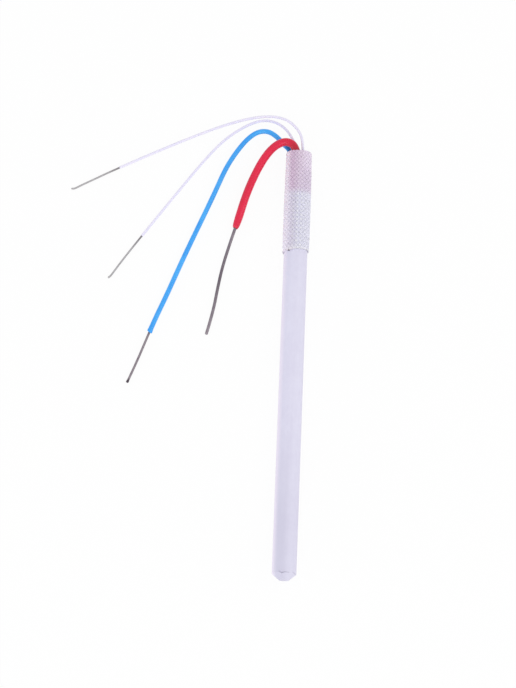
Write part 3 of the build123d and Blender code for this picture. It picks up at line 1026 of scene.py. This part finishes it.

# %% [markdown]
# ## Insulation
#
# The red and blue tubes are soft silicone rubber with a satin skin, a few scuffs and fine dust,
# and painted shade darkens them where they leave the sleeve. The two thin ones are milky, nearly
# clear plastic. That could be glass in the shader, but thin glass renders noisily and can't be
# baked. A pale skin that lets a little through looks the same on a tube this thin.

# %% Make the insulation


def rubber(name, main, shade, dust, painted_mouth_shade):
    """Satin rubber with faint patches, scuffs and fine bumps, and painted shade at the sleeve."""
    finish = Finish(name)
    lay = finish.attribute("lay")
    x, y = finish.split(finish.place())[:2]
    patches = finish.noise(lay, 900, 3, (0.3, 1, 1))
    scuffs = finish.noise(lay, 5200, 4, (0.25, 1, 1)).ramp(0.62, 0.78)
    skin_bumps = finish.noise(lay, 7000, 3)
    # Painted shade near the sleeve's mouth, on the side towards the rod.
    painted_shade_at_mouth = y.ramp(mouth_y + 1.6 * mm, mouth_y + 0.3 * mm) * x.ramp(-2.2 * mm, -0.8 * mm)
    base = finish.layers(main, (patches.ramp(0.3, 0.7), shade), (scuffs * 0.25, dust),
                         (painted_shade_at_mouth * 0.75, painted_mouth_shade))
    finish.surface(Base_Color=base, Roughness=0.36 + patches * 0.1 + scuffs * 0.2,
                   Specular_IOR_Level=0.35, Coat_Weight=0.3, Coat_Roughness=0.2,
                   Normal=finish.bump(skin_bumps + patches, 0.000008, 0.6))
    return finish.made


red_rubber = rubber("red_rubber", colour(230, 12, 66), colour(216, 6, 56),
                    colour(240, 90, 120), colour(178, 0, 34))
blue_rubber = rubber("blue_rubber", colour(70, 178, 254), colour(48, 160, 246),
                     colour(150, 214, 254), colour(40, 140, 226))

milky = Finish("milky_tube")
lay = milky.attribute("lay")
milk = milky.noise(lay, 1600, 3, (0.2, 1, 1))
marks = milky.noise(lay, 6000, 3)
milky.surface(
    Base_Color=milky.blend(milk.ramp(0.3, 0.7), colour(242, 237, 255), colour(236, 232, 254)),
    Alpha=0.98, Roughness=0.28 + milk * 0.12, Specular_IOR_Level=0.4,
    Normal=milky.bump(marks, 0.000003, 0.5))
for cover, finish in zip(covers.values(), (red_rubber, blue_rubber, milky.made, milky.made)):
    cover.data.materials.append(finish)
print("insulation:", [piece.data.materials[0].name for piece in covers.values()])

# %% [markdown]
# ## Glass fibre
#
# A strand of glass fibre is a flat bundle of filaments far thinner than a hair. It is white, matt
# and lets light through, so the rod and the leads show faintly from inside. Fine lines run along
# each strand, and painted shade darkens a strand where it dives under another and at its edges.
# The lay attribute gives both. A painted mauve glow stands for the red tube seen through the
# sleeve, past the rod's end and down the left half, with painted shade to the left, on the right
# past the rod's end and left of the middle near the front. Painted light makes it paler past the
# rod's end, at the front rim and along the left edge, and one family of strands is painted
# lighter as a sheen. The sleeve has one small dirty spot at its front edge.

# %% Make the glass fibre
glass = Finish("glass_fibre")
lay = glass.attribute("lay")
across, lift = glass.split(lay)[1:]
place = glass.place()
x, y = glass.split(place)[:2]
leftwards = x * -1
filaments = glass.noise(lay, 8, 3, (0.12, 4, 0))
batches = glass.noise(lay, 1.5, 2, (0.3, 0.6, 0))
# Painted sheen: one family of strands is painted lighter than the other, most along the top
# middle.
middle = (x * x).ramp((1.2 * mm) ** 2, (0.4 * mm) ** 2)
family = (glass.attribute("tone", "Fac") - 0.5) * (0.3 + middle * 0.9) + 0.5
tone = family * 0.7 + filaments.ramp(0.25, 0.75) * 0.15 + batches * 0.15

past_rod = y.ramp(rear_y - 0.8 * mm, rear_y + 0.8 * mm)
# Painted light: paler at the front rim, which lifts the shade at the sleeve's cut edge.
painted_front_rim_light = y.ramp(sleeve_front_y + 0.5 * mm, sleeve_front_y)
# Painted shade: darker where a strand dives under another and along its edges, less on the right
# and before the rod's end, none at the front rim.
low = lift.ramp(0.35, -0.5)
edge = (across * across).ramp(0.015, 0.043)
smooth = 1 - x.ramp(0.5 * mm, 1.2 * mm) * 0.9
# Painted shade left of the middle, before the rod's end. It also weakens the strands' painted
# shade there.
painted_shade_left_front = (1 - past_rod) * x.ramp(0.1 * mm, -0.3 * mm) * x.ramp(-1.3 * mm, -0.8 * mm)
shaded = (low * 0.3 + edge * 0.35) * smooth * (0.25 + past_rod * 0.5) * (1 - painted_front_rim_light)

left = leftwards.ramp(-1.5 * mm, 0.4 * mm)
far_left = leftwards.ramp(-0.2 * mm, 1.2 * mm)
near_mouth = y.ramp(rear_y - 1 * mm, mouth_y)
# Painted light: the red tube inside shows through as a mauve glow past the rod's end and on the
# left half, darker to the left as painted shade.
painted_red_glow = past_rod * (0.36 + near_mouth * 0.06 + left * 0.2) + far_left * 0.2
painted_red_glow_colour = glass.blend(left, colour(252, 216, 246), colour(217, 181, 213))
# Painted light: paler past the rod's end, most on the left towards the mouth.
pale = past_rod * (near_mouth * 0.35 + 0.2) * (0.2 + left * 0.8)
# Painted shade: a darker mauve band on the right, from about the rod's end.
band_ends = (y.ramp(rear_y - 0.6 * mm, rear_y + 0.2 * mm)
             * y.ramp(mouth_y - 2.8 * mm, mouth_y - 4.2 * mm))
painted_mauve_shade = band_ends * x.ramp(0.1 * mm, 1.2 * mm)
side_light = leftwards.ramp(1.1 * mm, 1.9 * mm)
spot = (-1.15 * mm, sleeve_front_y - 0.38 * mm, axis_height + 1.7 * mm)
gap = glass.node("VectorMath", place, spot, operation="DISTANCE", output="Value")
fibre = glass.layers(
    colour(232, 230, 254), (tone.held(), colour(246, 245, 255)),
    (shaded * (1 - painted_shade_left_front * 0.5), colour(180, 173, 202)),
    (painted_shade_left_front * 0.22, colour(190, 186, 204)), (painted_front_rim_light * 0.7, colour(252, 250, 255)),
    (pale, colour(255, 250, 255)), (painted_red_glow.held(), painted_red_glow_colour), (painted_mauve_shade * 0.28, colour(190, 165, 196)),
    (side_light * 0.95, colour(249, 240, 255)),
    (gap.ramp(0.26 * mm, 0.1 * mm), colour(104, 86, 100)))
glass.surface(Base_Color=fibre, Alpha=0.93 + side_light * 0.07, Roughness=0.6 + filaments * 0.15,
              Specular_IOR_Level=0.3, Sheen_Weight=0.35, Sheen_Roughness=0.4,
              Subsurface_Weight=0.2, Subsurface_Radius=(1.0, 0.95, 1.0), Subsurface_Scale=0.0004,
              Normal=glass.bump(filaments, 0.00002, 0.8))
braid.data.materials.append(glass.made)
for piece in (sheet, core):
    piece.data.materials.append(alumina.made)
print("glass nodes:", len(glass.nodes))

# %% [markdown]
# ## Table and light
#
# The picture was taken on a white sheet in soft light from all round. Three soft lamps add what
# comes from a side: one high on the right, one in front, and a small low one on the left that
# lights the rod's left edge. A white floor alone would render grey where the light is weak. Here
# the camera and the reflections see a floor that glows white by itself, with enough plain white
# mixed in that the part keeps its faint shadow.

# %% Lay the floor and light it
floor_drop = 0.02 * mm
glow_share = 0.93
room_level = 0.75
bpy.ops.object.select_all(action="DESELECT")
bpy.ops.mesh.primitive_plane_add(size=3, location=(0, 0, -floor_drop))
floor = bpy.context.object
floor.name = "floor"
white = Finish("white_floor")
seen = white.seen_directly()
plain = white.node("BsdfDiffuse", (0.97, 0.97, 0.97, 1), output="BSDF")
glow = white.node("Emission", (1, 1, 1, 1), 1.0, output="Emission")
white.end(white.node("MixShader", seen * glow_share, plain, glow, output="Shader"))
floor.data.materials.append(white.made)

room = Finish("soft_room", library="worlds")
seen = room.seen_directly()
brightness = room_level + seen * (1 - room_level)
background = room.node("Background", (1, 1, 1, 1), brightness, output="Background")
room.end(background, "OutputWorld")
bpy.context.scene.world = room.made


def soft_lamp(name, place, size, power, tint=(1, 1, 1)):
    """A square lamp that faces the middle of the part."""
    data = bpy.data.lights.new(name, "AREA")
    data.size, data.energy, data.color = size, power, tint
    lamp = add_object(name, data)
    away = (Vector(place) - camera_target).to_track_quat("Z", "Y")
    lamp.matrix_world = Matrix.Translation(place) @ away.to_matrix().to_4x4()


soft_lamp("lamp_right", (0.42, 0.1, 0.34), 0.35, 0.39)
soft_lamp("lamp_left", (-0.43, -0.1, 0.11), 0.12, 0.25, (0.9, 0.94, 1))
soft_lamp("lamp_front", (0.05, -0.42, 0.42), 0.35, 0.64)
bpy.context.scene.view_settings.view_transform = "Standard"
print("lamps placed")
